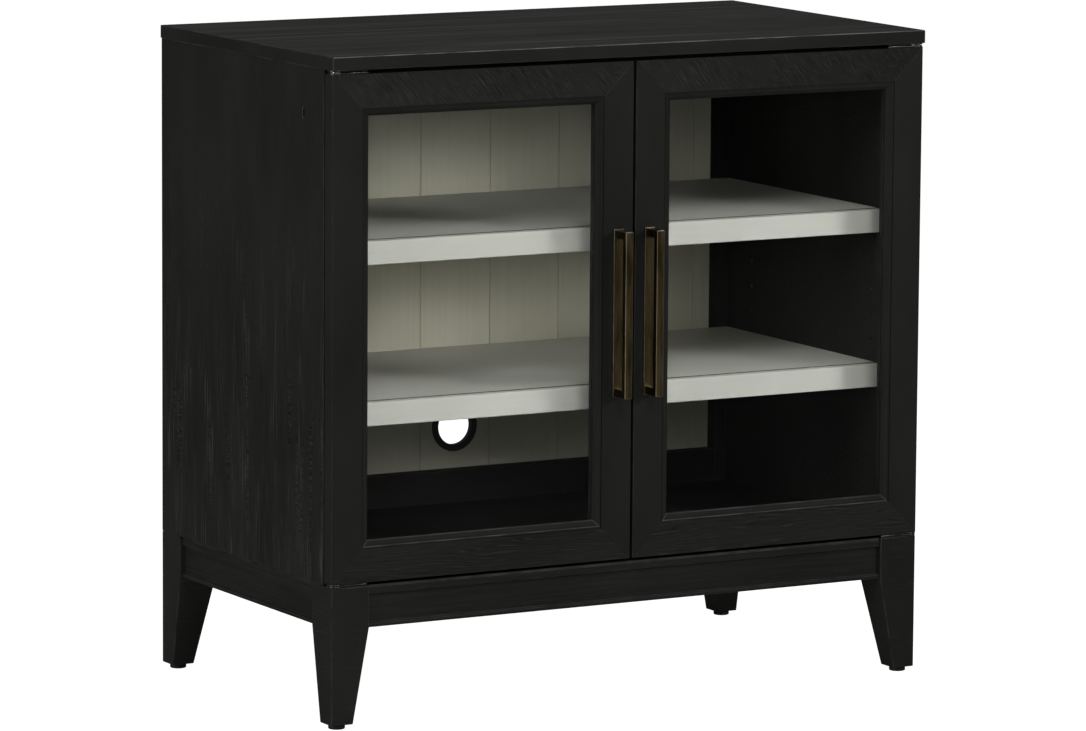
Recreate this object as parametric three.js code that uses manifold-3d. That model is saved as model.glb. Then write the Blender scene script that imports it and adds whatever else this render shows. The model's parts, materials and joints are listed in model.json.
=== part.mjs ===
// Media cabinet in millimetres: a black stained case on four tapered legs, two glazed doors on
// knife hinges, two adjustable pale shelves and a pale grooved back with a cable grommet.
// +Z is up, the doors face -Y, and the origin is on the floor under the middle of the overall size.
import * as THREE from 'three';
import { mergeVertices } from 'three/addons/utils/BufferGeometryUtils.js';
import Module from 'manifold-3d';

const wasm = await Module();
wasm.setup();

// ---- Driving dimensions ----
const topWidth = 813;
const topDepth = 456;
const cabinetHeight = 795;
const topThickness = 16;
const topSideOverhang = 1.2;
const topBackOverhang = 0.5;
const topOverDoorFront = 3.5;
const panelThickness = 19;

const baseHeight = 170.4;
const footHeight = 6;
const legSize = 50;
const legFootSize = 29;
const apronHeight = 50.7;

const doorThickness = 19;
const doorBackGap = 3;
const doorCentreGap = 3.8;
const doorTopGap = 5;
const doorBottomGap = 4;
const frameWidth = 40.3;
const beadWidth = 9.3;
const handleReach = 27.5;

const shelfThickness = 29;
const shelfFrontSetback = 32.5;
const lowerShelfUnderside = 349.8;
const pinHolePitch = 32;
const pinHoleRows = 7;

// Gap between a piece and the neighbour that it is fitted into.
const fitGap = 0.3;

// ---- Planes that the pieces share ----
const sideX = topWidth / 2 - topSideOverhang;
const innerX = sideX - panelThickness;
const doorFrontY = -topDepth / 2 + topOverDoorFront;
const doorBackY = doorFrontY + doorThickness;
const caseFrontY = doorBackY + doorBackGap;
const backY = topDepth / 2 - topBackOverhang;
const topUnderside = cabinetHeight - topThickness;
const apronBottom = baseHeight - apronHeight;
const doorBottom = baseHeight + doorBottomGap;
const doorTop = topUnderside - doorTopGap;

// ---- Finishes ----
function finish(color, roughness, metalness = 0) {
  return new THREE.MeshStandardMaterial({ color, roughness, metalness });
}
const blackWood = finish(0x201f1d, 0.55);
const paleLacquer = finish(0xcfcabd, 0.5);
const clearGlass = finish(0xdfe8e6, 0.05);
clearGlass.transparent = true;
clearGlass.opacity = 0.3;
const agedBrass = finish(0x6e5433, 0.4, 0.9);
const hingeBronze = finish(0x5a4a38, 0.45, 0.9);
const blackPlastic = finish(0x151515, 0.6);

// ---- Helpers ----
const cabinet = new THREE.Group();

function place(name, geometry, material) {
  const mesh = new THREE.Mesh(geometry, material);
  mesh.name = name;
  cabinet.add(mesh);
}

// A board between two opposite corners, in either order along X.
function board(xa, xb, y0, y1, z0, z1) {
  const geometry = new THREE.BoxGeometry(Math.abs(xb - xa), y1 - y0, z1 - z0);
  return geometry.translate((xa + xb) / 2, (y0 + y1) / 2, (z0 + z1) / 2);
}

// Round rods along each axis. A rod's flats stay inside its radius.
function rodUp(radius, x, y, z0, z1, sides = 16) {
  const geometry = new THREE.CylinderGeometry(radius, radius, z1 - z0, sides);
  return geometry.rotateX(Math.PI / 2).translate(x, y, (z0 + z1) / 2);
}

function rodBack(radius, x, z, y0, y1, sides = 16) {
  const geometry = new THREE.CylinderGeometry(radius, radius, y1 - y0, sides);
  return geometry.translate(x, (y0 + y1) / 2, z);
}

function rodAcross(radius, y, z, xa, xb, sides = 12) {
  const geometry = new THREE.CylinderGeometry(radius, radius, Math.abs(xb - xa), sides);
  return geometry.rotateZ(Math.PI / 2).translate((xa + xb) / 2, y, z);
}

// Extrusions of an outline that lies across the axis they run along.
const xAxis = new THREE.Vector3(1, 0, 0);
const yAxis = new THREE.Vector3(0, 1, 0);
const zAxis = new THREE.Vector3(0, 0, 1);
const outlineYZ = new THREE.Matrix4().makeBasis(yAxis, zAxis, xAxis);
const outlineXZ = new THREE.Matrix4().makeBasis(xAxis, zAxis, yAxis.clone().negate());

function extrude(points, depth) {
  const shape = new THREE.Shape(points.map(([u, v]) => new THREE.Vector2(u, v)));
  return new THREE.ExtrudeGeometry(shape, { depth, bevelEnabled: false });
}

function extrudeUp(pointsXY, z0, z1) {
  return extrude(pointsXY, z1 - z0).translate(0, 0, z0);
}

function extrudeAcross(pointsYZ, x0, x1) {
  return extrude(pointsYZ, x1 - x0).applyMatrix4(outlineYZ).translate(x0, 0, 0);
}

function extrudeBack(pointsXZ, y0, y1) {
  return extrude(pointsXZ, y1 - y0).applyMatrix4(outlineXZ).translate(0, y1, 0);
}

// A turned piece: the profile is [radius, height] and its axis is Z.
function turned(profile, x, y, sides = 16) {
  const points = profile.map(([radius, height]) => new THREE.Vector2(radius, height));
  return new THREE.LatheGeometry(points, sides).rotateX(Math.PI / 2).translate(x, y, 0);
}

function positionsOnly(geometry) {
  const bare = geometry.index ? geometry.toNonIndexed() : geometry.clone();
  bare.deleteAttribute('normal');
  bare.deleteAttribute('uv');
  return bare;
}

function toSolid(geometry) {
  const merged = mergeVertices(positionsOnly(geometry));
  const vertProperties = merged.attributes.position.array;
  const triVerts = Uint32Array.from(merged.index.array);
  return new wasm.Manifold(new wasm.Mesh({ numProp: 3, vertProperties, triVerts }));
}

function toGeometry(solid) {
  const { vertProperties, triVerts } = solid.getMesh();
  const geometry = new THREE.BufferGeometry();
  geometry.setAttribute('position', new THREE.BufferAttribute(vertProperties, 3));
  return geometry.setIndex(new THREE.BufferAttribute(triVerts, 1));
}

function cut(geometry, tools) {
  return toGeometry(tools.reduce((solid, tool) => solid.subtract(toSolid(tool)), toSolid(geometry)));
}

function join(geometry, additions) {
  return toGeometry(additions.reduce((solid, extra) => solid.add(toSolid(extra)), toSolid(geometry)));
}

const sides = [['left', -1], ['right', 1]];

// ---- Top ----
place('top_panel', board(-topWidth / 2, topWidth / 2, -topDepth / 2, topDepth / 2, topUnderside,
  cabinetHeight), blackWood);

// ---- Side panels, with two columns of shelf pin holes in each inner face ----
const pinHoleRadius = 2.6;
const pinHoleDepth = 10;
const pinBelowShelf = 8;
const firstPinRow = lowerShelfUnderside - pinBelowShelf;
const frontPinY = -144.5;
const rearPinY = 140;
for (const [sideName, side] of sides) {
  const holes = [];
  for (let row = 0; row < pinHoleRows; row += 1) {
    for (const y of [frontPinY, rearPinY]) {
      const z = firstPinRow + row * pinHolePitch;
      const holeEnd = side * (innerX + pinHoleDepth);
      holes.push(rodAcross(pinHoleRadius, y, z, side * (innerX - 1), holeEnd));
    }
  }
  const panel = board(side * innerX, side * sideX, caseFrontY, backY, baseHeight, topUnderside);
  place(`${sideName}_side_panel`, cut(panel, holes), blackWood);
}

// ---- Back panel: pale boards with V grooves, seen from the front ----
const backThickness = 6;
const backPanelY = backY - 0.5 - backThickness;
const plankWidth = 99;
const grooveHalfWidth = 1.1;
const grooveDepth = 1.4;
const backHalfWidth = innerX - fitGap;
const floorTop = baseHeight + 8.6;
const grommetZ = 273;
const grommetHoleRadius = 29;
const backOutline = [[backHalfWidth, backPanelY + backThickness], [-backHalfWidth, backPanelY + backThickness],
  [-backHalfWidth, backPanelY]];
for (let groove = -3.5; groove <= 3.5; groove += 1) {
  const x = groove * plankWidth;
  backOutline.push([x - grooveHalfWidth, backPanelY]);
  backOutline.push([x, backPanelY + grooveDepth]);
  backOutline.push([x + grooveHalfWidth, backPanelY]);
}
backOutline.push([backHalfWidth, backPanelY]);
const backBoards = extrudeUp(backOutline, baseHeight + fitGap, topUnderside - fitGap);
const grommetHole = rodBack(grommetHoleRadius, 0, grommetZ, backPanelY - 5, backY + 5, 32);
place('back_panel', cut(backBoards, [grommetHole]), paleLacquer);

// ---- Cable grommet: a flanged ring pressed into the back panel ----
const grommetBore = 23.5;
const flangeRadius = 32;
const flangeThickness = 2;
const grommetProfile = [[grommetBore, 0], [flangeRadius - 1, 0], [flangeRadius, 1],
  [flangeRadius, flangeThickness], [grommetHoleRadius - 0.4, flangeThickness],
  [grommetHoleRadius - 0.4, 8.5], [grommetBore, 8.5], [grommetBore, 0]];
const grommet = turned(grommetProfile, 0, 0, 32).rotateX(-Math.PI / 2);
place('cable_grommet', grommet.translate(0, backPanelY - flangeThickness, grommetZ), blackPlastic);

// ---- Inner frame of the case: cleats, rails and bottom ----
const cleatDepth = 20;
const cleatWidth = 15;
const cleatFrontY = backPanelY - cleatDepth;
const cleatX = innerX - cleatWidth;
const railHeight = 30;
const rearBottomRailTop = 220;
for (const [sideName, side] of sides) {
  const cleat = board(side * cleatX, side * innerX, cleatFrontY, backPanelY, floorTop, topUnderside);
  place(`rear_${sideName}_cleat`, cleat, blackWood);
}
place('rear_bottom_rail', board(-cleatX, cleatX, cleatFrontY, backPanelY, floorTop, rearBottomRailTop),
  blackWood);
place('front_top_rail', board(-innerX, innerX, caseFrontY, caseFrontY + panelThickness,
  topUnderside - railHeight, topUnderside), blackWood);
place('bottom_panel', board(-innerX, innerX, caseFrontY, backPanelY, baseHeight, floorTop), blackWood);

// ---- Double magnet catch under the front rail, behind the free corners of both doors ----
const catchHalfWidth = 36;
const catchHeight = 14;
const catchTop = topUnderside - railHeight;
const catchReach = 1.5;
place('double_magnet_catch', board(-catchHalfWidth, catchHalfWidth, caseFrontY - catchReach,
  caseFrontY + panelThickness, catchTop - catchHeight, catchTop), blackPlastic);

// ---- Legs: square blocks whose two inner faces taper below the aprons ----
const legCentre = legFootSize / 2;
const stemRadius = 4;
const stemTop = footHeight + 25;
const corners = [['front_left', -1, -1], ['front_right', 1, -1], ['rear_left', -1, 1], ['rear_right', 1, 1]];

function legBlock(outerX, outerY, side, end) {
  const height = baseHeight - footHeight;
  const block = new THREE.BoxGeometry(legSize, legSize, height, 1, 1, 2);
  const corner = block.attributes.position;
  for (let k = 0; k < corner.count; k += 1) {
    const isFoot = corner.getZ(k) < -1;
    const isTaperStart = Math.abs(corner.getZ(k)) < 1;
    const size = isFoot ? legFootSize : legSize;
    const x = corner.getX(k) * side > 0 ? outerX : outerX - side * size;
    const y = corner.getY(k) * end > 0 ? outerY : outerY - end * size;
    const z = isTaperStart ? apronBottom : corner.getZ(k) + height / 2 + footHeight;
    corner.setXYZ(k, x, y, z);
  }
  return block;
}

for (const [cornerName, side, end] of corners) {
  const outerX = side * sideX;
  const outerY = end < 0 ? doorFrontY : backY;
  const footX = outerX - side * legCentre;
  const footY = outerY - end * legCentre;
  const stemHole = rodUp(stemRadius + 0.5, footX, footY, footHeight - 1, stemTop + 4);
  place(`${cornerName}_leg`, cut(legBlock(outerX, outerY, side, end), [stemHole]), blackWood);
  const leveller = turned([[0, 0], [9, 0], [10, 1], [10, 4], [8.5, footHeight - 0.3],
    [stemRadius, footHeight - 0.3], [stemRadius, stemTop], [0, stemTop]], footX, footY, 20);
  place(`${cornerName}_leveller`, leveller, blackPlastic);
}

// ---- Aprons: boards set back from the legs, with a proud strip along the top and the bottom ----
const apronThickness = 18;
const fieldSetback = 6.5;
const stripProud = 3.5;
const topStripLow = baseHeight - 11;
const topStripHigh = baseHeight - 1.5;
const bottomStripHigh = apronBottom + 5.5;
const legInnerX = sideX - legSize;
const frontLegBackY = doorFrontY + legSize;
const rearLegFrontY = backY - legSize;

// Section as [distance in from the leg's face, height].
const apronSection = [
  [fieldSetback + apronThickness, apronBottom],
  [fieldSetback + apronThickness, baseHeight],
  [fieldSetback - stripProud + 1, baseHeight],
  [fieldSetback - stripProud + 1, topStripHigh],
  [fieldSetback - stripProud, topStripHigh - 1],
  [fieldSetback - stripProud, topStripLow],
  [fieldSetback, topStripLow],
  [fieldSetback, bottomStripHigh],
  [fieldSetback - stripProud, bottomStripHigh - 1],
  [fieldSetback - stripProud, apronBottom],
];
const frontSection = apronSection.map(([depth, z]) => [doorFrontY + depth, z]);
place('front_apron', extrudeAcross(frontSection, -legInnerX, legInnerX), blackWood);
for (const [sideName, side] of sides) {
  const section = apronSection.map(([depth, z]) => [side * (sideX - depth), z]);
  place(`${sideName}_apron`, extrudeBack(section, frontLegBackY, rearLegFrontY), blackWood);
}
const apronBackY = doorFrontY + fieldSetback + apronThickness;
const rearApronY = backY - fieldSetback - apronThickness;
place('rear_apron', board(-legInnerX, legInnerX, rearApronY, backY - fieldSetback, apronBottom, baseHeight),
  blackWood);

// ---- Batten across the middle of the base, under the bottom panel ----
const battenHalfWidth = 30;
const battenHeight = 22;
place('base_batten', board(-battenHalfWidth, battenHalfWidth, apronBackY, rearApronY,
  baseHeight - battenHeight, baseHeight), blackWood);

// ---- Shelves: pale boards on pins in the side panels ----
const shelfHalfWidth = innerX - 0.8;
const shelfFrontY = caseFrontY + shelfFrontSetback;
const shelfBackY = cleatFrontY - 4;
const pinRadius = 2.2;
const tabReach = 11;
const supportWidth = 12;
const supportThickness = 1.5;

function shelfSupport(side, y, underside) {
  const wall = innerX - 0.1;
  const outline = [
    [side * wall, underside],
    [side * (wall - tabReach), underside],
    [side * (wall - tabReach), underside - supportThickness],
    [side * (wall - supportThickness), underside - supportThickness],
    [side * (wall - supportThickness), underside - pinBelowShelf - 4],
    [side * wall, underside - pinBelowShelf - 4],
  ];
  const bracket = extrudeBack(outline, y - supportWidth / 2, y + supportWidth / 2);
  const pinEnd = side * (innerX + pinHoleDepth - 1);
  const pin = rodAcross(pinRadius, y, underside - pinBelowShelf, side * (wall - 1), pinEnd);
  return join(bracket, [pin]);
}

const shelves = [['upper', lowerShelfUnderside + (pinHoleRows - 1) * pinHolePitch],
  ['lower', lowerShelfUnderside]];
for (const [shelfName, underside] of shelves) {
  place(`${shelfName}_shelf`, board(-shelfHalfWidth, shelfHalfWidth, shelfFrontY, shelfBackY, underside,
    underside + shelfThickness), paleLacquer);
  for (const [sideName, side] of sides) {
    const name = `${shelfName}_shelf_${sideName}`;
    place(`${name}_front_support`, shelfSupport(side, frontPinY, underside), hingeBronze);
    place(`${name}_rear_support`, shelfSupport(side, rearPinY, underside), hingeBronze);
  }
}

// ---- Knife hinges: flat leaves in the gaps above and below each door, turning on a pin ----
const pivotInset = 7;
const pivotX = sideX - pivotInset;
const pivotY = doorFrontY + pivotInset;
const leafThickness = 1.85;
const leafLength = 41;
const leafEndRadius = 9;
const leafFrontEdge = -4;
const hingePinRadius = 1.9;
const hingeHoleRadius = 2.3;

// A leaf's outline: a strip that grows into a round end about the pivot.
function leafOutline(side) {
  const inward = -side;
  const points = [[leafLength, leafFrontEdge], [leafLength, leafEndRadius]];
  const arcStart = Math.PI / 2;
  const arcEnd = 2 * Math.PI + Math.asin(leafFrontEdge / leafEndRadius);
  const steps = 18;
  for (let step = 0; step <= steps; step += 1) {
    const angle = arcStart + (arcEnd - arcStart) * step / steps;
    points.push([leafEndRadius * Math.cos(angle), leafEndRadius * Math.sin(angle)]);
  }
  return points.map(([u, v]) => [side * pivotX + inward * u, pivotY + v]);
}

for (const [sideName, side] of sides) {
  const x = side * pivotX;
  const bottomLeaf = extrudeUp(leafOutline(side), baseHeight, baseHeight + leafThickness);
  const topLeaf = extrudeUp(leafOutline(side), topUnderside - leafThickness, topUnderside);
  const bottomPin = rodUp(hingePinRadius, x, pivotY, baseHeight + 0.5, doorBottom + 8);
  const topPin = rodUp(hingePinRadius, x, pivotY, doorTop - 8, topUnderside - 0.5);
  place(`${sideName}_case_bottom_leaf`, join(bottomLeaf, [bottomPin]), hingeBronze);
  place(`${sideName}_case_top_leaf`, join(topLeaf, [topPin]), hingeBronze);
}

// ---- Doors: mitred frames with a sloping glazing bead, a pane, a stop behind it and a pull ----
const glassThickness = 4;
const glassY = doorFrontY + 8.5;
const beadLipSetback = 0.8;
const beadFlat = 1.2;
const beadSlopeDepth = 3.6;
const stopWidth = 8;
const handleX = 21.4;
const handleLow = 371.5;
const handleHigh = 574;
const plateHalfWidth = 6.8;
const plateThickness = 2.2;
const barHalfWidth = 5;
const barDepth = 8;
const postHeight = 10;
const barInset = 1;
const screwRadius = 2;
const screwInPost = 8;

// A rectangular plug whose front rectangle is wider than its back one.
function slopedPlug(xa, xb, y0, y1, z0, z1, widening) {
  const plug = board(xa, xb, y0, y1, z0, z1);
  const corner = plug.attributes.position;
  const middleX = (xa + xb) / 2;
  const middleY = (y0 + y1) / 2;
  const middleZ = (z0 + z1) / 2;
  for (let k = 0; k < corner.count; k += 1) {
    if (corner.getY(k) < middleY) {
      corner.setX(k, corner.getX(k) + Math.sign(corner.getX(k) - middleX) * widening);
      corner.setZ(k, corner.getZ(k) + Math.sign(corner.getZ(k) - middleZ) * widening);
    }
  }
  return plug;
}

for (const [sideName, side] of sides) {
  const door = `${sideName}_door`;
  const outer = side * sideX;
  const free = side * doorCentreGap / 2;
  const outerEdge = outer - side * frameWidth;
  const freeEdge = free + side * frameWidth;
  const lowEdge = doorBottom + frameWidth;
  const highEdge = doorTop - frameWidth;
  const pinHoles = [
    rodUp(hingeHoleRadius, side * pivotX, pivotY, doorBottom - 1, doorBottom + 9),
    rodUp(hingeHoleRadius, side * pivotX, pivotY, doorTop - 9, doorTop + 1),
  ];

  // Handle places, used by the stile, the plate and the bar.
  const gripX = side * handleX;
  const lowPostZ = handleLow + barInset + postHeight / 2;
  const highPostZ = handleHigh - barInset - postHeight / 2;
  const plateFrontY = doorFrontY - plateThickness;
  const barFrontY = doorFrontY - handleReach;
  const screwEndY = plateFrontY - screwInPost;
  const screwHoles = [lowPostZ, highPostZ].map((z) =>
    rodBack(screwRadius + fitGap, gripX, z, screwEndY - 1, doorBackY + 1, 12));

  // Frame members, cut at 45 degrees where they meet.
  const outerStile = extrudeBack([[outer, doorBottom], [outerEdge, lowEdge], [outerEdge, highEdge],
    [outer, doorTop]], doorFrontY, doorBackY);
  const innerStile = extrudeBack([[free, doorBottom], [freeEdge, lowEdge], [freeEdge, highEdge],
    [free, doorTop]], doorFrontY, doorBackY);
  const topRail = extrudeBack([[outer, doorTop], [outerEdge, highEdge], [freeEdge, highEdge],
    [free, doorTop]], doorFrontY, doorBackY);
  const bottomRail = extrudeBack([[outer, doorBottom], [outerEdge, lowEdge], [freeEdge, lowEdge],
    [free, doorBottom]], doorFrontY, doorBackY);
  place(`${door}_outer_stile`, cut(outerStile, pinHoles), blackWood);
  place(`${door}_inner_stile`, cut(innerStile, screwHoles), blackWood);
  place(`${door}_top_rail`, cut(topRail, pinHoles), blackWood);
  place(`${door}_bottom_rail`, cut(bottomRail, pinHoles), blackWood);

  // Bead, pane and stop, each inside the frame with a little play.
  const beadBox = board(outerEdge - side * fitGap, freeEdge + side * fitGap, doorFrontY + beadLipSetback,
    glassY - 0.1, lowEdge + fitGap, highEdge - fitGap);
  const sightOuter = outerEdge - side * beadWidth;
  const sightFree = freeEdge + side * beadWidth;
  const sightLow = lowEdge + beadWidth;
  const sightHigh = highEdge - beadWidth;
  const slope = slopedPlug(sightOuter, sightFree, doorFrontY + beadLipSetback,
    doorFrontY + beadLipSetback + beadSlopeDepth, sightLow, sightHigh, beadWidth - fitGap - beadFlat);
  const sightHole = board(sightOuter, sightFree, doorFrontY, doorBackY, sightLow, sightHigh);
  place(`${door}_bead`, cut(beadBox, [slope, sightHole]), blackWood);
  place(`${door}_glass`, board(outerEdge - side, freeEdge + side, glassY, glassY + glassThickness,
    lowEdge + 1, highEdge - 1), clearGlass);
  const stopBox = board(outerEdge - side * fitGap, freeEdge + side * fitGap, glassY + glassThickness + 0.1,
    doorBackY - 0.5, lowEdge + fitGap, highEdge - fitGap);
  const stopHole = board(outerEdge - side * stopWidth, freeEdge + side * stopWidth, doorFrontY,
    doorBackY + 1, lowEdge + stopWidth, highEdge - stopWidth);
  place(`${door}_glass_stop`, cut(stopBox, [stopHole]), blackWood);

  // Door leaves of the hinges, on the door's two ends.
  const leafHoles = [rodUp(hingeHoleRadius, side * pivotX, pivotY, doorBottom - 5, doorTop + 5)];
  const lowLeaf = extrudeUp(leafOutline(side), doorBottom - leafThickness, doorBottom);
  const highLeaf = extrudeUp(leafOutline(side), doorTop, doorTop + leafThickness);
  place(`${door}_bottom_leaf`, cut(lowLeaf, leafHoles), hingeBronze);
  place(`${door}_top_leaf`, cut(highLeaf, leafHoles), hingeBronze);

  // Pull: a back plate and a bar on two posts, screwed on from behind the stile.
  place(`${sideName}_handle_plate`, cut(board(gripX - plateHalfWidth, gripX + plateHalfWidth, plateFrontY,
    doorFrontY, handleLow, handleHigh), screwHoles), agedBrass);
  const barOutline = [
    [barFrontY, handleLow + barInset],
    [plateFrontY, handleLow + barInset],
    [plateFrontY, handleLow + barInset + postHeight],
    [barFrontY + barDepth, handleLow + barInset + postHeight],
    [barFrontY + barDepth, handleHigh - barInset - postHeight],
    [plateFrontY, handleHigh - barInset - postHeight],
    [plateFrontY, handleHigh - barInset],
    [barFrontY, handleHigh - barInset],
  ];
  const bar = extrudeAcross(barOutline, gripX - barHalfWidth, gripX + barHalfWidth);
  place(`${sideName}_handle_bar`, cut(bar, screwHoles), agedBrass);
}

// The handles stand out in front of the top, so the middle of the overall depth lies forward of
// the middle of the case.
const handleBeyondTop = handleReach - topOverDoorFront;
const piece = new THREE.Group();
piece.add(cabinet);
cabinet.position.y = handleBeyondTop / 2;

export default piece;
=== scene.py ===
import json
import math

import bpy
from mathutils import Matrix, Vector


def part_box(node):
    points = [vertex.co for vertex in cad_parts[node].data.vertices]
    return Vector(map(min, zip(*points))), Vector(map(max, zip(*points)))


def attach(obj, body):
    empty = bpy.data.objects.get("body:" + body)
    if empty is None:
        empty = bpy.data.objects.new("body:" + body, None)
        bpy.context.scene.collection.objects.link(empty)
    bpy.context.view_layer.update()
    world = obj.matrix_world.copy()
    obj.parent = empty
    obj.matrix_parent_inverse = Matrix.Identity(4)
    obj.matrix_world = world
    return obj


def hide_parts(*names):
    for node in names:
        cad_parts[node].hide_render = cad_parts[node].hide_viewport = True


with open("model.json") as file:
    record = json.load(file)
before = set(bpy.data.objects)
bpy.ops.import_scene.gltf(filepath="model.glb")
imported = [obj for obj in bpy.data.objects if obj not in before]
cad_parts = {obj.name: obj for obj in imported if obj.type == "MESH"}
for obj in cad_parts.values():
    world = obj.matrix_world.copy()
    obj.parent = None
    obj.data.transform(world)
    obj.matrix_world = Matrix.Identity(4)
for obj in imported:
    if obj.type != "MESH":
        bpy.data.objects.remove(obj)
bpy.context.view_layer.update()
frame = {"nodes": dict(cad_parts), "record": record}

# ---- Camera ----
# A long lens, a little above the height of the top, looks at the corner between the cabinet's
# front and its left side.
camera_data = bpy.data.cameras.new("camera")
camera_data.lens = 210.94
camera_data.sensor_width = 36.0
camera_data.clip_end = 60.0
camera = bpy.data.objects.new("camera", camera_data)
bpy.context.scene.collection.objects.link(camera)
camera.location = (-3.7932, -6.7212, 1.5098)
camera.rotation_euler = (math.radians(81.674), math.radians(-0.4), math.radians(-29.358))
bpy.context.scene.camera = camera

# ---- Room ----
# A white floor and a white surround, both fully bright to the camera. They light the cabinet far
# less than they show, and mirror in it far less too, as with dark flags round a set.
surround_light = 0.08
surround_mirrored = 0.12
floor_grey = 0.35

bpy.context.scene.view_settings.view_transform = "Standard"
world = bpy.data.worlds.new("studio")
bpy.context.scene.world = world
world.use_nodes = True
air = world.node_tree
backdrop = air.nodes["Background"]
backdrop.inputs["Color"].default_value = (1, 1, 1, 1)


def direct_view(tree):
    """1 for what the camera sees straight or through glass, and 0 for light on its way."""
    ray = tree.nodes.new("ShaderNodeLightPath")
    bounces = tree.nodes.new("ShaderNodeMath")
    tree.links.new(ray.outputs["Diffuse Depth"], bounces.inputs[0])
    tree.links.new(ray.outputs["Glossy Depth"], bounces.inputs[1])
    unbounced = tree.nodes.new("ShaderNodeMath")
    unbounced.operation = "LESS_THAN"
    tree.links.new(bounces.outputs[0], unbounced.inputs[0])
    return unbounced.outputs[0]


mirror_ray = air.nodes.new("ShaderNodeLightPath")
seen = air.nodes.new("ShaderNodeMapRange")
seen.inputs["To Min"].default_value = surround_light
seen.inputs["To Max"].default_value = 1.0
mirrored = air.nodes.new("ShaderNodeMapRange")
mirrored.inputs["To Max"].default_value = surround_mirrored
air.links.new(direct_view(air), seen.inputs["Value"])
air.links.new(mirror_ray.outputs["Is Glossy Ray"], mirrored.inputs["Value"])
air.links.new(seen.outputs["Result"], mirrored.inputs["To Min"])
air.links.new(mirrored.outputs["Result"], backdrop.inputs["Strength"])

bpy.ops.object.select_all(action="DESELECT")
bpy.ops.mesh.primitive_plane_add(size=30, location=(0, 0, 0))
floor = bpy.context.object
floor.name = "studio_floor"
floor_paint = bpy.data.materials.new("floor_paint")
floor_paint.use_nodes = True
floor_shader = floor_paint.node_tree.nodes["Principled BSDF"]
floor_shader.inputs["Base Color"].default_value = (floor_grey, floor_grey, floor_grey, 1)
floor_shader.inputs["Roughness"].default_value = 0.9
floor_shader.inputs["Specular IOR Level"].default_value = 0.1
floor_shader.inputs["Emission Color"].default_value = (1, 1, 1, 1)
floor_paint.node_tree.links.new(direct_view(floor_paint.node_tree), floor_shader.inputs["Emission Strength"])
floor.data.materials.append(floor_paint)


def softbox(name, place, aim, width, height, power, spread=180):
    """A soft area light at a place, turned to face a point, its beam held in by a grid."""
    lamp = bpy.data.lights.new(name, "AREA")
    lamp.shape = "RECTANGLE"
    lamp.size = width
    lamp.size_y = height
    lamp.energy = power
    lamp.spread = math.radians(spread)
    holder = bpy.data.objects.new(name, lamp)
    bpy.context.scene.collection.objects.link(holder)
    holder.location = place
    holder.rotation_euler = (Vector(aim) - Vector(place)).to_track_quat("-Z", "Y").to_euler()


softbox("key", (2.3, -3.6, 1.8), (0, 0, 0.45), 1.0, 0.9, 41)
softbox("low_front", (-0.8, -4.2, 1.6), (0, 0, 0.45), 0.8, 0.8, 8)
softbox("high_front", (-0.9, -3.1, 3.3), (0, 0, 0.45), 1.8, 1.2, 33)
softbox("left_fill", (-3.7, -0.9, 1.2), (0, 0, 0.4), 1.6, 1.6, 50)
softbox("overhead", (0.2, -0.4, 3.6), (0, 0, 0.5), 2.4, 2.4, 28)

# Two small lamps inside the case, high in the upper compartment and just under the upper shelf,
# wash the back panel.
softbox("upper_glow", (0.06, -0.08, 0.690), (0.04, 0.22, 0.595), 0.34, 0.03, 0.007, 34)
softbox("middle_glow", (0.10, -0.08, 0.540), (0.08, 0.22, 0.412), 0.40, 0.03, 0.028, 34)

# ---- Top ----
# One flat board with its grain along the width, under black stain that shows the brushed fibres.
# Its edges are eased by hand, and the stain is rubbed thin along them. The edges that face up
# are painted paler still, partly as wear and partly as a painted highlight.
nodes = frame["nodes"]
body_of = {}
for body_name, members in frame["record"]["behaviour"]["bodies"].items():
    for member in members:
        body_of[member] = body_name


def put(tree, kind, inputs, **settings):
    """Adds a shader node. An input is a value, or another node's output, which is linked."""
    made = tree.nodes.new("ShaderNode" + kind)
    for setting, value in settings.items():
        setattr(made, setting, value)
    for socket, value in inputs.items():
        if isinstance(value, bpy.types.NodeSocket):
            tree.links.new(value, made.inputs[socket])
        else:
            made.inputs[socket].default_value = value
    return made


def grain_of(tree, place, cell, detail=3.0, turn=(0, 0, 0)):
    """Cloudy noise whose cells have the given sizes along X, Y and Z, in metres."""
    stretched = put(tree, "Mapping", {"Vector": place, "Rotation": turn, "Scale": cell},
                    vector_type="TEXTURE")
    cloud = put(tree, "TexNoise", {"Vector": stretched.outputs[0], "Scale": 1.0, "Detail": detail})
    return cloud.outputs[0]


def between(tree, value, low, high, to_low=0.0, to_high=1.0):
    """Spreads the part of a value between low and high over the new range."""
    spread = put(tree, "MapRange", {"Value": value, "From Min": low, "From Max": high,
                                    "To Min": to_low, "To Max": to_high})
    return spread.outputs[0]


def maths(tree, operation, first, second):
    return put(tree, "Math", {0: first, 1: second}, operation=operation).outputs[0]


def tint(tree, factor, first, second):
    """Mixes two colours, each a colour or a link."""
    first = (*first, 1) if isinstance(first, tuple) else first
    second = (*second, 1) if isinstance(second, tuple) else second
    return put(tree, "Mix", {0: factor, 6: first, 7: second}, data_type="RGBA").outputs[2]


def new_finish(name):
    """A new material, as its tree, its main shader and its place on the object."""
    finish = bpy.data.materials.new(name)
    finish.use_nodes = True
    tree = finish.node_tree
    place = put(tree, "TexCoord", {}).outputs["Object"]
    return finish, tree, tree.nodes["Principled BSDF"], place


def connect(tree, shader, colour, roughness, height, relief):
    """Joins colour, roughness and a height in metres of relief to the main shader."""
    bumps = put(tree, "Bump", {"Height": height, "Distance": relief, "Strength": 1.0})
    tree.links.new(colour, shader.inputs["Base Color"])
    tree.links.new(roughness, shader.inputs["Roughness"])
    tree.links.new(bumps.outputs[0], shader.inputs["Normal"])


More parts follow.
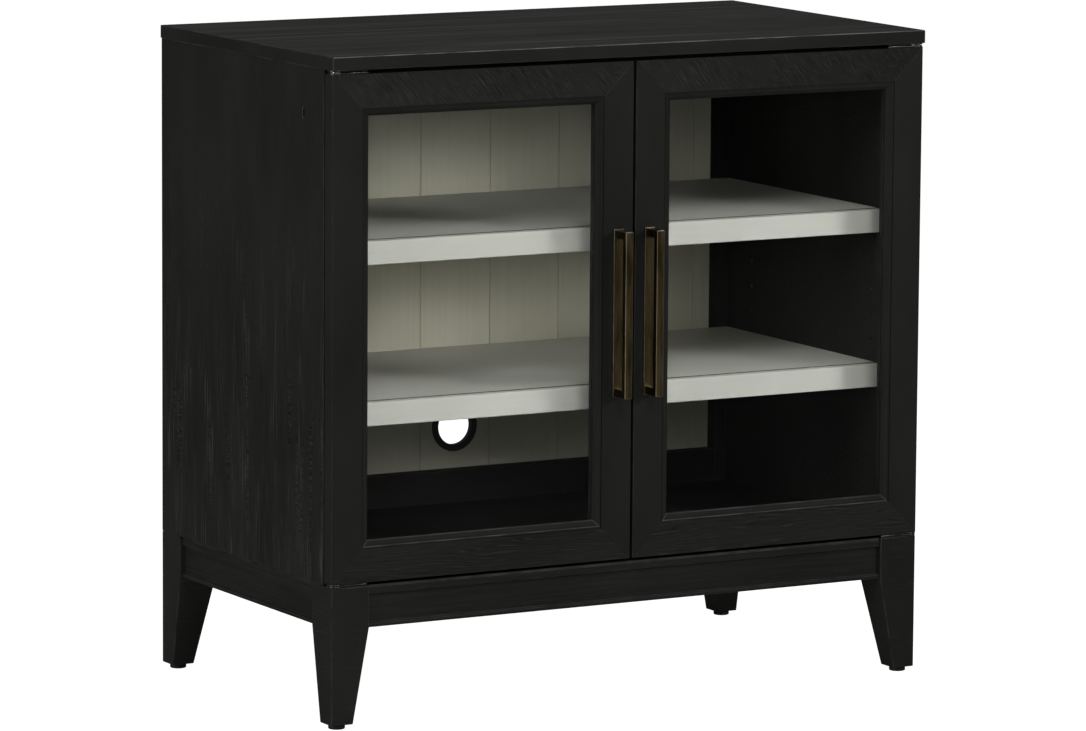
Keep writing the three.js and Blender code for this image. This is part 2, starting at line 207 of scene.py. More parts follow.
stain_deep = (0.0124, 0.0122, 0.0114)
stain_mid = (0.0218, 0.0215, 0.0201)
# Pale rubbed stain, also the colour of the painted highlights on the knot's rim and the bead's lower mitres.
rubbed_stain_and_highlight = (0.110, 0.107, 0.100)
# Near black for cuts, also the colour of the painted shade in the knot's hole.
cut_and_hole_shade = (0.002, 0.002, 0.002)


def stained_wood(name, along, marks=None, fibre=0.5, rubbing=0.4, gloss=0.085):
    """Black stain on brushed wood with its fibres along one axis: 0 is X, 1 is Y and 2 is Z.

    Marks give two amounts, of stain rubbed thin and of dark cuts, or None for either. The knot's
    rim and the bead's lower mitres come through the first as painted highlight, and the knot's
    hole through the second as painted shade."""
    finish, tree, shader, place = new_finish(name)

    def cell(across, length):
        return [length if axis == along else across for axis in range(3)]

    clouds = grain_of(tree, place, cell(0.10, 0.25))
    fibres = grain_of(tree, place, cell(0.0026, 0.13), detail=5.0)
    patches = between(tree, grain_of(tree, place, cell(0.035, 0.20)), 0.42, 0.62)
    pores = between(tree, grain_of(tree, place, cell(0.0011, 0.022)), 0.62, 0.74)
    rubbed = maths(tree, "MULTIPLY", maths(tree, "MULTIPLY", pores, patches), 0.5)
    # For the knot and the bead's mitres these amounts carry painted highlight and painted shade.
    thin, cuts = marks(tree, place) if marks is not None else (None, None)
    if thin is not None:
        rubbed = maths(tree, "MAXIMUM", rubbed, thin)
    drawn = maths(tree, "MULTIPLY", maths(tree, "SUBTRACT", fibres, 0.5), fibre)
    depth = maths(tree, "ADD", clouds, drawn)
    stain = tint(tree, between(tree, depth, 0.25, 0.75), stain_deep, stain_mid)
    colour = tint(tree, maths(tree, "MULTIPLY", rubbed, rubbing), stain, rubbed_stain_and_highlight)
    height = maths(tree, "SUBTRACT", drawn, maths(tree, "MULTIPLY", rubbed, 0.35))
    if cuts is not None:
        colour = tint(tree, cuts, colour, cut_and_hole_shade)
        height = maths(tree, "SUBTRACT", height, maths(tree, "MULTIPLY", cuts, 0.8))
    connect(tree, shader, colour, between(tree, depth, 0.3, 0.7, 0.56, 0.50), height, 0.00018)
    shader.inputs["Specular IOR Level"].default_value = gloss
    return finish


def rubbed_edges(name, kept, thin):
    """Stain along eased edges, kept in places and worn thin over the wood in others."""
    finish, tree, shader, place = new_finish(name)
    patches = between(tree, grain_of(tree, place, (0.03, 0.03, 0.03), detail=5.0), 0.36, 0.62)
    specks = grain_of(tree, place, (0.002, 0.002, 0.002))
    colour = tint(tree, patches, kept, thin)
    connect(tree, shader, colour, between(tree, specks, 0.3, 0.7, 0.5, 0.38), specks, 0.00005)
    shader.inputs["Specular IOR Level"].default_value = 0.12
    return finish


def pick(piece):
    """Makes one piece the only selected one."""
    bpy.ops.object.select_all(action="DESELECT")
    piece.select_set(True)
    bpy.context.view_layer.objects.active = piece


def copy_of(node, name):
    """A new piece with a solid's shape, its loose triangles merged into whole flat faces."""
    piece = bpy.data.objects.new(name, nodes[node].data.copy())
    bpy.context.scene.collection.objects.link(piece)
    piece.data.materials.clear()
    pick(piece)
    bpy.ops.mesh.customdata_custom_splitnormals_clear()
    bpy.ops.object.mode_set(mode="EDIT")
    bpy.ops.mesh.select_all(action="SELECT")
    bpy.ops.mesh.remove_doubles(threshold=0.00002)
    bpy.ops.mesh.dissolve_limited(angle_limit=math.radians(0.3))
    bpy.ops.object.mode_set(mode="OBJECT")
    return piece


def soften(piece, width, wanted=None, least=0.012, segments=3, finish=1):
    """Rounds the long sharp edges whose run passes the test. The new faces take one finish."""
    while len(piece.data.materials) <= finish:
        piece.data.materials.append(None)
    pick(piece)
    bpy.ops.object.mode_set(mode="EDIT")
    bpy.ops.mesh.select_mode(type="EDGE")
    bpy.ops.mesh.select_all(action="DESELECT")
    bpy.ops.mesh.edges_select_sharp(sharpness=math.radians(40))
    bpy.ops.object.mode_set(mode="OBJECT")
    points = piece.data.vertices
    for edge in piece.data.edges:
        run = points[edge.vertices[1]].co - points[edge.vertices[0]].co
        if edge.select and (run.length < least or (wanted is not None and not wanted(run))):
            edge.select = False
    bpy.ops.object.mode_set(mode="EDIT")
    bpy.ops.mesh.bevel(offset=width, segments=segments, affect="EDGES", clamp_overlap=True,
                       material=finish)
    bpy.ops.object.mode_set(mode="OBJECT")


def dress(piece, *finishes):
    """Gives a piece its materials and smooth shading that keeps its flats flat."""
    slots = piece.data.materials
    for number, finish in enumerate(finishes):
        if number < len(slots):
            slots[number] = finish
        else:
            slots.append(finish)
    pick(piece)
    bpy.ops.object.shade_smooth_by_angle(angle=math.radians(40))
    piece.modifiers.new("flats", "WEIGHTED_NORMAL").keep_sharp = True
    bpy.ops.object.modifier_apply(modifier="flats")


def stand_for(piece, node):
    """The piece is shown in place of a solid, and moves with it."""
    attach(piece, body_of[node])
    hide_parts(node)


def along_axis(axis):
    return lambda run: abs(run[axis]) > 0.999 * run.length


def top_streaks(tree, place):
    """Long soft streaks that follow the grain of the top, pale and dark."""
    pale = between(tree, grain_of(tree, place, (0.35, 0.007, 0.006), detail=4.0), 0.48, 0.70)
    dark = between(tree, grain_of(tree, place, (0.16, 0.004, 0.006), detail=3.0), 0.60, 0.76)
    return pale, maths(tree, "MULTIPLY", dark, 0.8)


top_edge_radius = 0.0010
worn = rubbed_edges("rubbed_edges", (0.016, 0.0157, 0.015), (0.040, 0.039, 0.037))
# Paler edge colour for the frames' mitres and the bead's lower edges: partly wear, partly a painted
# highlight.
bare_wear_and_highlight = rubbed_edges("bare_edge_wear_and_highlight", (0.034, 0.0333, 0.0318), (0.095, 0.093, 0.088))
# Palest edge colour, for the top's upward edges: partly wear, partly a painted highlight.
top_wear_and_highlight = rubbed_edges("top_edge_wear_and_highlight", (0.055, 0.054, 0.052), (0.15, 0.147, 0.14))
top_board = copy_of("top_panel", "top_board")
soften(top_board, top_edge_radius)
dress(top_board, stained_wood("top_stain", 0, top_streaks, rubbing=0.36, gloss=0.14), top_wear_and_highlight,
      stained_wood("top_edge_stain", 0, fibre=0.2, rubbing=0.2, gloss=0.085), worn)
# Eased edges facing up keep the palest colour, partly wear and partly a painted highlight; those facing
# sideways or down take the plain rubbed edge colour.
for face in top_board.data.polygons:
    if face.material_index == 0 and abs(face.normal.z) < 0.5:
        face.material_index = 2
    elif face.material_index == 1 and (abs(face.normal.x) > 0.2 or face.normal.z < 0.2):
        face.material_index = 3
stand_for(top_board, "top_panel")

# ---- Side panels ----
# Two upright boards, stained black in and out. The upper part is calm; lower down the saw has
# left upright lines and columns of short cross marks. The left one has a small open knot, drawn
# as a painted shade in its hole and a painted highlight on the lit side of its rim.
knot_place = (-0.4, -0.1396, 0.7238)
knot_size = (0.05, 0.0022, 0.0046)
side_edge_radius = 0.0008


def side_marks(tree, place):
    """Upright lines and ladders of cross marks that fade out towards the top, and the knot: a
    painted shade in its hole and a painted highlight on the lit side of its rim.
    """
    split = put(tree, "SeparateXYZ", {"Vector": place})
    wander = grain_of(tree, place, (0.05, 0.05, 0.10), detail=2.0)
    height = maths(tree, "ADD", split.outputs["Z"], maths(tree, "MULTIPLY", wander, 0.30))
    outside = between(tree, maths(tree, "ABSOLUTE", split.outputs["X"], 0), 0.392, 0.394)
    lower = maths(tree, "MULTIPLY", between(tree, height, 0.80, 0.50), outside)
    lines = between(tree, grain_of(tree, place, (0.003, 0.0019, 0.08), detail=3.0), 0.53, 0.66)
    bundles = between(tree, grain_of(tree, place, (0.05, 0.026, 0.22), detail=2.0), 0.45, 0.60)
    splits = between(tree, grain_of(tree, place, (0.02, 0.0016, 0.06), detail=2.0), 0.64, 0.72)
    columns = between(tree, grain_of(tree, place, (0.05, 0.014, 0.20), detail=2.0), 0.58, 0.64)
    rungs = grain_of(tree, place, (0.02, 0.009, 0.0021), detail=3.0)
    dark_rungs = maths(tree, "MULTIPLY", columns, between(tree, rungs, 0.54, 0.64, 0.0, 0.7))
    pale_rungs = maths(tree, "MULTIPLY", columns, between(tree, rungs, 0.47, 0.40, 0.0, 0.35))
    thin = maths(tree, "MAXIMUM", maths(tree, "MULTIPLY", lines, bundles), pale_rungs)
    thin = maths(tree, "MULTIPLY", thin, maths(tree, "MAXIMUM", lower, 0.05))
    cuts = maths(tree, "MULTIPLY", maths(tree, "MAXIMUM", dark_rungs, splits), lower)
    rim = put(tree, "Mapping", {"Vector": place, "Location": knot_place, "Scale": knot_size},
              vector_type="TEXTURE")
    reach = put(tree, "VectorMath", {0: rim.outputs[0]}, operation="LENGTH").outputs["Value"]
    from_core = put(tree, "SeparateXYZ", {"Vector": rim.outputs[0]})
    # The knot's rim is a painted highlight, bright on its lit side only.
    lit_side = between(tree, from_core.outputs["Y"], 0.0, 0.6)
    ring = maths(tree, "MULTIPLY", between(tree, reach, 2.0, 1.6), between(tree, reach, 1.0, 1.3))
    ring = maths(tree, "MULTIPLY", ring, lit_side)
    # The knot's dark core is a painted shade in its hole.
    painted_hole_shade = between(tree, reach, 1.3, 1.0)
    return maths(tree, "MAXIMUM", thin, ring), maths(tree, "MAXIMUM", cuts, painted_hole_shade)


side_stain = stained_wood("side_stain", 2, side_marks, fibre=0.05, rubbing=0.5)
for side_name in ("left", "right"):
    side_board = copy_of(f"{side_name}_side_panel", f"{side_name}_side_board")
    soften(side_board, side_edge_radius)
    dress(side_board, side_stain, worn)
    stand_for(side_board, f"{side_name}_side_panel")

# ---- Inner frame of the case ----
# Plain boards behind the doors: the bottom, the cleats and rails that hold the back, and the
# rail over the doors. They are stained black like the rest, with less brushing.
inner_edge_radius = 0.0006
inner_stain = stained_wood("inner_stain", 0, fibre=0.3, rubbing=0.1, gloss=0.03)
upright_inner_stain = stained_wood("upright_inner_stain", 2, fibre=0.3, rubbing=0.1, gloss=0.03)


def block(name, low, high):
    """A plain block between two corners, ready to be shaped."""
    low, high = Vector(low), Vector(high)
    bpy.ops.object.select_all(action="DESELECT")
    bpy.ops.mesh.primitive_cube_add(size=1, location=(low + high) / 2, scale=high - low)
    bpy.ops.object.transform_apply(location=True, rotation=True, scale=True)
    made = bpy.context.object
    made.name = name
    return made


for node in ("bottom_panel", "rear_bottom_rail", "front_top_rail", "base_batten"):
    inner_board = copy_of(node, f"{node}_board")
    soften(inner_board, inner_edge_radius)
    dress(inner_board, inner_stain, worn)
    stand_for(inner_board, node)
for side_name in ("left", "right"):
    cleat = copy_of(f"rear_{side_name}_cleat", f"rear_{side_name}_cleat_board")
    soften(cleat, inner_edge_radius)
    dress(cleat, upright_inner_stain, worn)
    stand_for(cleat, f"rear_{side_name}_cleat")

rail_low, rail_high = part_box("rear_bottom_rail")
front_rail_low, front_rail_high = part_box("front_top_rail")
rear_top_rail = block("rear_top_rail", (rail_low.x, rail_low.y, front_rail_low.z),
                      (rail_high.x, rail_high.y, front_rail_high.z))
soften(rear_top_rail, inner_edge_radius)
dress(rear_top_rail, inner_stain, worn)
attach(rear_top_rail, "case")

# ---- Back panel ----
# A thin board with V grooves cut down its face, sprayed in a warm pale lacquer, with a round
# hole near the bottom for cables.


def pale_lacquer(name, along, tone, shade):
    """Satin lacquer with a faint peel, and the grain of the board showing a little."""
    finish, tree, shader, place = new_finish(name)
    cell = [0.35 if axis == along else 0.006 for axis in range(3)]
    clouds = grain_of(tree, place, (0.12, 0.12, 0.12))
    grain = grain_of(tree, place, cell, detail=4.0)
    peel = grain_of(tree, place, (0.0016, 0.0016, 0.0016), detail=1.0)
    cover = maths(tree, "ADD", maths(tree, "MULTIPLY", clouds, 0.6),
                  maths(tree, "MULTIPLY", grain, 0.4))
    colour = tint(tree, between(tree, cover, 0.35, 0.65), shade, tone)
    height = maths(tree, "ADD", peel, maths(tree, "MULTIPLY", grain, 1.5))
    connect(tree, shader, colour, between(tree, clouds, 0.3, 0.7, 0.52, 0.42), height, 0.00004)
    shader.inputs["Specular IOR Level"].default_value = 0.3
    return finish


back_tone = (0.64, 0.615, 0.50)
back_shade = (0.58, 0.555, 0.44)
back_boards = copy_of("back_panel", "back_boards")
dress(back_boards, pale_lacquer("back_lacquer", 2, back_tone, back_shade))
stand_for(back_boards, "back_panel")

# ---- Cable grommet ----
# A black moulded ring with a thin rounded flange, pushed into the hole in the back.
grommet_low, grommet_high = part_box("cable_grommet")
grommet_middle = (grommet_low + grommet_high) / 2
flange_radius = (grommet_high.x - grommet_low.x) / 2
ring_bore = 0.0235
ring_wall = 0.0286
flange_lift = 0.002


def moulded_plastic():
    """Black plastic with a fine spark-eroded grain."""
    finish, tree, shader, place = new_finish("moulded_plastic")
    grit = grain_of(tree, place, (0.0006, 0.0006, 0.0006), detail=2.0)
    clouds = grain_of(tree, place, (0.012, 0.012, 0.012))
    colour = tint(tree, clouds, (0.0075, 0.0073, 0.0070), (0.016, 0.0155, 0.015))
    connect(tree, shader, colour, between(tree, grit, 0.3, 0.7, 0.45, 0.62), grit, 0.00003)
    shader.inputs["Specular IOR Level"].default_value = 0.3
    return finish


black_plastic = moulded_plastic()


def turned_piece(name, profile, centre, axis, steps=72):
    """Spins an outline of (radius, distance along the axis) points, closed unless it ends on it."""
    axis = Vector(axis)
    outward = Vector((1, 0, 0)) if abs(axis.x) < 0.5 else Vector((0, 0, 1))
    outline = bpy.data.meshes.new(name)
    points = [Vector(centre) + outward * radius + axis * height for radius, height in profile]
    lines = [(k, k + 1) for k in range(len(points) - 1)]
    if profile[0][0] > 0:
        lines.append((len(points) - 1, 0))
    outline.from_pydata(points, lines, [])
    piece = bpy.data.objects.new(name, outline)
    bpy.context.scene.collection.objects.link(piece)
    pick(piece)
    bpy.ops.object.mode_set(mode="EDIT")
    bpy.ops.mesh.select_all(action="SELECT")
    bpy.ops.mesh.spin(steps=steps, angle=math.tau, center=centre, axis=axis)
    bpy.ops.mesh.select_all(action="SELECT")
    bpy.ops.mesh.remove_doubles(threshold=0.000005)
    bpy.ops.mesh.normals_make_consistent(inside=False)
    bpy.ops.object.mode_set(mode="OBJECT")
    return piece


ring_depth = grommet_high.y - grommet_low.y
ring_outline = [(ring_bore + 0.0008, 0), (flange_radius - 0.0012, 0), (flange_radius - 0.0004, 0.0004),
                (flange_radius, 0.0012), (flange_radius, flange_lift), (ring_wall, flange_lift),
                (ring_wall - 0.0004, ring_depth), (ring_bore + 0.0005, ring_depth),
                (ring_bore, ring_depth - 0.0005), (ring_bore, 0.0008)]
grommet = turned_piece("grommet_ring", ring_outline, (0, grommet_low.y, grommet_middle.z), (0, 1, 0))
dress(grommet, black_plastic)
stand_for(grommet, "cable_grommet")

# ---- Legs ----
# Square blocks whose two inner faces taper below the aprons. The long edges are eased, and fine
# marks of the cross-cut show across the grain.


def cross_marks(tree, place):
    """Fine saw marks across the leg."""
    cuts = between(tree, grain_of(tree, place, (0.03, 0.03, 0.0016), detail=2.0), 0.58, 0.74)
    return maths(tree, "MULTIPLY", cuts, 0.5), None


leg_edge_radius = 0.0012
leg_stain = stained_wood("leg_stain", 2, cross_marks, fibre=0.15, rubbing=0.2)
corner_names = ("front_left", "front_right", "rear_left", "rear_right")
for corner_name in corner_names:
    leg = copy_of(f"{corner_name}_leg", f"{corner_name}_leg_block")
    soften(leg, leg_edge_radius)
    dress(leg, leg_stain, worn)
    stand_for(leg, f"{corner_name}_leg")

# ---- Aprons ----
# Boards between the legs with a narrow proud strip along their top and bottom. The rear one is
# plain. Corner braces are glued behind them.
apron_edge_radius = 0.0007
apron_stain = stained_wood("apron_stain", 0, fibre=0.9, rubbing=0.6)
side_apron_stain = stained_wood("side_apron_stain", 1, fibre=0.9, rubbing=0.6, gloss=0.12)
for apron_name, apron_finish in (("front", apron_stain), ("rear", apron_stain),
                                 ("left", side_apron_stain), ("right", side_apron_stain)):
    apron = copy_of(f"{apron_name}_apron", f"{apron_name}_apron_board")
    soften(apron, apron_edge_radius, lambda run: abs(run.z) < 0.001)
    dress(apron, apron_finish, worn)
    stand_for(apron, f"{apron_name}_apron")

front_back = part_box("front_apron")[1].y
rear_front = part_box("rear_apron")[0].y
side_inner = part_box("right_apron")[0].x
brace_reach = 0.080
brace_thickness = 0.018
brace_height = 0.036
brace_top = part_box("front_apron")[1].z


def trim(piece, point, outward):
    """Cuts off what lies beyond a plane and closes the cut."""
    pick(piece)
    bpy.ops.object.mode_set(mode="EDIT")
    bpy.ops.mesh.select_all(action="SELECT")
    bpy.ops.mesh.bisect(plane_co=point, plane_no=outward, use_fill=True, clear_outer=True)
    bpy.ops.object.mode_set(mode="OBJECT")


for side_name, side in (("left", -1), ("right", 1)):
    for end_name, end, wall in (("front", -1, front_back), ("rear", 1, rear_front)):
        middle = Vector((side * (side_inner - brace_reach / 2), wall - end * brace_reach / 2,
                         brace_top - brace_height / 2))
        bpy.ops.object.select_all(action="DESELECT")
        bpy.ops.mesh.primitive_cube_add(size=1, location=middle, rotation=(0, 0, side * end * -math.pi / 4),
                                        scale=(brace_reach * 2, brace_thickness, brace_height))
        bpy.ops.object.transform_apply(location=True, rotation=True, scale=True)
        brace = bpy.context.object
        brace.name = f"{end_name}_{side_name}_brace"
        trim(brace, (side * side_inner, 0, 0), (side, 0, 0))
        trim(brace, (0, wall, 0), (0, end, 0))
        soften(brace, inner_edge_radius)
        dress(brace, inner_stain, worn)
        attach(brace, "case")

# ---- Doors: mitred frames ----
# Two stiles and two rails to each door, cut at 45 degrees and glued. The stiles are smooth, the
# top rails keep slanting saw strokes and the bottom rails an arched grain. The frame's eased
# edges along its bead are painted near black, a painted shade for the groove where they meet.


def saw_strokes(tree, place):
    """Short slanting strokes of a coarse saw, close together, with some fibres torn along."""
    slant = (0, math.radians(-40), 0)
    strokes = grain_of(tree, place, (0.0009, 0.03, 0.026), detail=2.0, turn=slant)
    patches = between(tree, grain_of(tree, place, (0.05, 0.05, 0.03)), 0.35, 0.60, 0.4, 1.0)
    torn = between(tree, grain_of(tree, place, (0.022, 0.01, 0.0012), detail=2.0), 0.64, 0.74)
    thin = maths(tree, "MULTIPLY", between(tree, strokes, 0.55, 0.65), patches)
    cuts = maths(tree, "MULTIPLY", between(tree, strokes, 0.42, 0.34, 0.0, 0.7), patches)
    return maths(tree, "MAXIMUM", thin, maths(tree, "MULTIPLY", torn, 0.8)), cuts


def arched_grain(tree, place):
    """Fine arches of growth rings along the rail."""
    drawn = put(tree, "Mapping", {"Vector": place, "Scale": (0.10, 1.0, 1.0)})
    rings = put(tree, "TexWave", {"Vector": drawn.outputs[0], "Scale": 85.0, "Distortion": 34.0,
                                  "Detail": 3.0, "Detail Scale": 0.5}, bands_direction="Z")
    patches = between(tree, grain_of(tree, place, (0.03, 0.03, 0.006)), 0.42, 0.62)
    lines = maths(tree, "MULTIPLY", between(tree, rings.outputs["Fac"], 0.80, 1.0), patches)
    dark = maths(tree, "MULTIPLY", between(tree, rings.outputs["Fac"], 0.20, 0.0), patches)
    return lines, maths(tree, "MULTIPLY", dark, 0.5)


def speckle(tree, place):
    """Faint specks in the smooth stain of the stiles."""
    specks = between(tree, grain_of(tree, place, (0.004, 0.004, 0.004), detail=4.0), 0.60, 0.75)
    return maths(tree, "MULTIPLY", specks, 0.35), None


stile_stain = stained_wood("stile_stain", 2, speckle, fibre=0.08, rubbing=0.12)
top_rail_stain = stained_wood("top_rail_stain", 0, saw_strokes, fibre=0.2, rubbing=0.25)
bottom_rail_stain = stained_wood("bottom_rail_stain", 0, arched_grain, fibre=0.2, rubbing=0.17)
frame_members = (("outer_stile", 2, stile_stain), ("inner_stile", 2, stile_stain),
                 ("top_rail", 0, top_rail_stain), ("bottom_rail", 0, bottom_rail_stain))
# Near black on the frame's edges along the bead: a painted shade for the groove there.
painted_seam_shade = rubbed_edges("painted_seam_shade", (0.0010, 0.0010, 0.0009), (0.003, 0.003, 0.0028))
seam_reach = 0.0015
frame_edge_radius = 0.0007
mitre_edge_radius = 0.00035
for side_name in ("left", "right"):
    bead_low, bead_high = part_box(f"{side_name}_door_bead")
    for member_name, axis, member_finish in frame_members:
        node = f"{side_name}_door_{member_name}"
        member = copy_of(node, f"{node}_wood")
        soften(member, frame_edge_radius, along_axis(axis), least=0.1)
        # The mitre edges take the paler edge colour, partly wear and partly a painted highlight.
        soften(member, mitre_edge_radius, lambda run: abs(run.x) > 0.01 and abs(run.z) > 0.01, finish=2)
        dress(member, member_finish, worn, bare_wear_and_highlight, painted_seam_shade)
        # Eased edges next to the bead take the painted shade of the groove.
        for face in member.data.polygons:
            by_bead = all(bead_low[way] - seam_reach < face.center[way] < bead_high[way] + seam_reach
                          for way in (0, 2))
            if by_bead and face.material_index == 1:
                face.material_index = 3
        stand_for(member, node)

# ---- Glazing beads and stops ----
# A moulded bead frames each pane in front: a flat lip, a hollow that falls to the glass and a
# small fillet. Its steps are pairs of millimetres, towards the pane and out of the door. A plain
# stop holds the pane from behind.
bead_steps = ((1.2, 0.0), (0.4, -0.7), (1.5, -0.3), (1.6, -0.7), (1.6, -1.0), (1.5, -1.1), (0.3, -0.5),
              (0.9, 0.0))
bead_width = sum(step[0] for step in bead_steps) / 1000
bead_edge_radius = 0.0003
stop_edge_radius = 0.0005
bead_low, bead_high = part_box("right_door_bead")


def bead_marks(tree, place):
    """Specks, and a painted highlight along the two lower mitres, which are the same on both doors."""
    split = put(tree, "SeparateXYZ", {"Vector": place})
    across = maths(tree, "ABSOLUTE", split.outputs["X"], 0)
    from_end = maths(tree, "MINIMUM", maths(tree, "SUBTRACT", across, bead_low.x),
                     maths(tree, "SUBTRACT", bead_high.x, across))
    above = maths(tree, "SUBTRACT", split.outputs["Z"], bead_low.z)
    off_mitre = maths(tree, "SUBTRACT", above, from_end)
    # A thin painted highlight along each lower mitre.
    painted_mitre_highlight = between(tree, maths(tree, "ABSOLUTE", off_mitre, 0), 0.0009, 0.0003, 0.0, 4.0)
    return maths(tree, "MAXIMUM", speckle(tree, place)[0], painted_mitre_highlight), None


bead_stain = stained_wood("bead_stain", 2, bead_marks, fibre=0.0, rubbing=0.2)
for side_name in ("left", "right"):
    node = f"{side_name}_door_bead"
    bead = block(f"{node}_moulding", *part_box(node))
    bpy.ops.object.mode_set(mode="EDIT")
    bpy.ops.mesh.select_mode(type="FACE")
    bpy.ops.mesh.select_all(action="DESELECT")
    bpy.ops.object.mode_set(mode="OBJECT")
    for face in bead.data.polygons:
        face.select = face.normal.y > 0.9
    bpy.ops.object.mode_set(mode="EDIT")
    bpy.ops.mesh.inset(thickness=bead_width, depth=0)
    bpy.ops.object.mode_set(mode="OBJECT")
    back_middle = [face.index for face in bead.data.polygons if face.select]
    for face in bead.data.polygons:
        face.select = face.normal.y < -0.9
    bpy.ops.object.mode_set(mode="EDIT")
    for inset_by, rise in bead_steps:
        bpy.ops.mesh.inset(thickness=inset_by / 1000, depth=rise / 1000)
    bpy.ops.object.mode_set(mode="OBJECT")
    for index in back_middle:
        bead.data.polygons[index].select = True
    bpy.ops.object.mode_set(mode="EDIT")
    bpy.ops.mesh.bridge_edge_loops()
    bpy.ops.object.mode_set(mode="OBJECT")
    soften(bead, bead_edge_radius, lambda run: abs(run.y) < 0.0001, least=0.2)
    dress(bead, bead_stain, bare_wear_and_highlight)
    # Only the bottom member's eased edges keep the paler edge colour, as a painted highlight; the rest go
    # back to the stain.
    bead_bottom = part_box(node)[0].z + bead_width
    for face in bead.data.polygons:
        if face.center.z > bead_bottom:
            face.material_index = 0
    stand_for(bead, node)
    node = f"{side_name}_door_glass_stop"
    stop = copy_of(node, f"{node}_wood")
    soften(stop, stop_edge_radius)
    dress(stop, bead_stain, worn)
    stand_for(stop, node)

# ---- Glass ----
# A 4 mm pane in each door, clear with a very slight green in its thickness, and coated so that it
# mirrors little.


def clear_glass():
    """Clear glass that lets the lamps' light through to what is behind it."""
    finish, tree, shader, place = new_finish("clear_pane")
    shader.inputs["Base Color"].default_value = (0.975, 0.985, 0.978, 1)
    shader.inputs["Roughness"].default_value = 0.0
    shader.inputs["IOR"].default_value = 1.12
    shader.inputs["Transmission Weight"].default_value = 1.0
    lamp_ray = put(tree, "LightPath", {}).outputs["Is Shadow Ray"]
    open_pane = put(tree, "BsdfTransparent", {"Color": (0.95, 0.97, 0.96, 1)})
    pane = put(tree, "MixShader", {0: lamp_ray, 1: shader.outputs[0], 2: open_pane.outputs[0]})
    tree.links.new(pane.outputs[0], tree.nodes["Material Output"].inputs["Surface"])
    return finish


pane_glass = clear_glass()
for side_name in ("left", "right"):
    nodes[f"{side_name}_door_glass"].material_slots[0].material = pane_glass

# ---- Shelves ----
# Two pale lacquered boards that lift off their supports, each with a solid lipping glued along
# the front. A fine V shows where board and lipping meet; the board's chamfer there is painted
# dark as the V's shadow.
lipping_depth = 0.012
lipping_drop = 0.0008
groove_gap = 0.0004
board_edge_radius = 0.0011
lipping_edge_radius = 0.0009
shelf_lacquer = pale_lacquer("shelf_lacquer", 0, (0.56, 0.553, 0.508), (0.52, 0.513, 0.463))
# Dark lacquer for the board's front chamfer: a painted shadow in the V behind the lipping.
painted_groove_shadow = pale_lacquer("painted_groove_shadow", 0, (0.11, 0.105, 0.09), (0.08, 0.076, 0.065))
for shelf_name in ("upper", "lower"):
    shelf_low, shelf_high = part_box(f"{shelf_name}_shelf")
    joint_y = shelf_low.y + lipping_depth
    shelf_board = block(f"{shelf_name}_shelf_panel", (shelf_low.x, joint_y, shelf_low.z), shelf_high)
    soften(shelf_board, board_edge_radius)
    dress(shelf_board, shelf_lacquer, shelf_lacquer, painted_groove_shadow)
    # The chamfer that faces forward and up takes the painted shadow.
    for face in shelf_board.data.polygons:
        if face.normal.y < -0.2 and face.normal.z > 0.2:
            face.material_index = 2
    stand_for(shelf_board, f"{shelf_name}_shelf")
    lipping = block(f"{shelf_name}_shelf_lipping", shelf_low,
                    (shelf_high.x, joint_y - groove_gap, shelf_high.z - lipping_drop))
    soften(lipping, lipping_edge_radius)
    dress(lipping, shelf_lacquer, shelf_lacquer)
    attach(lipping, body_of[f"{shelf_name}_shelf"])

# ---- Handles ----
# A thin back plate and a square bar on two posts, in brass aged to brown, with bright edges where
# hands have rubbed them.


def aged_metal(name, bright, dark, along, roughness, wear):
    """Metal with fine lines along one axis and a patchy dark patina."""
    finish, tree, shader, place = new_finish(name)
    cell = [0.05 if axis == along else 0.0009 for axis in range(3)]
    lines = grain_of(tree, place, cell, detail=3.0)
    patina = grain_of(tree, place, (0.012, 0.012, 0.07), detail=5.0)
    cover = maths(tree, "ADD", maths(tree, "MULTIPLY", patina, 0.75),
                  maths(tree, "MULTIPLY", lines, 0.25))
    colour = tint(tree, between(tree, cover, 0.38, 0.62, wear, 1.0 - wear), bright, dark)
    spread = between(tree, cover, 0.35, 0.65, roughness - 0.06, roughness + 0.12)
    connect(tree, shader, colour, spread, lines, 0.00003)
    shader.inputs["Metallic"].default_value = 1.0
    return finish


brass = aged_metal("aged_brass", (0.120, 0.090, 0.044), (0.026, 0.018, 0.008), 2, 0.32, 0.0)
bright_brass = aged_metal("rubbed_brass", (0.36, 0.32, 0.23), (0.14, 0.118, 0.074), 2, 0.30, 0.0)
for side_name in ("left", "right"):
    for part_name, edge_radius in (("handle_plate", 0.0005), ("handle_bar", 0.0007)):
        node = f"{side_name}_{part_name}"
        pull = copy_of(node, f"{node}_brass")
        soften(pull, edge_radius, least=0.004)
        dress(pull, brass, bright_brass)
        stand_for(pull, node)

# ---- Screws ----
# Domed heads with a cross recess, bronzed dark. Two behind each handle are driven through the
# stile, and a row of small ones holds the back to its cleats and rails.
head_radius = 0.004
head_height = 0.0019
recess_length = 0.0046
recess_width = 0.0010
recess_depth = 0.0011
head_edge_radius = 0.0010
handle_screw_size = 1.0
handle_screw_inset = 0.005
back_screw_size = 0.7
back_screw_proud = 0.0008
flush_proud = 0.0001
bronze = aged_metal("hinge_bronze", (0.055, 0.050, 0.042), (0.026, 0.024, 0.021), 0, 0.40, 0.1)
bright_bronze = aged_metal("rubbed_bronze", (0.22, 0.215, 0.20), (0.09, 0.088, 0.08), 0, 0.30, 0.2)

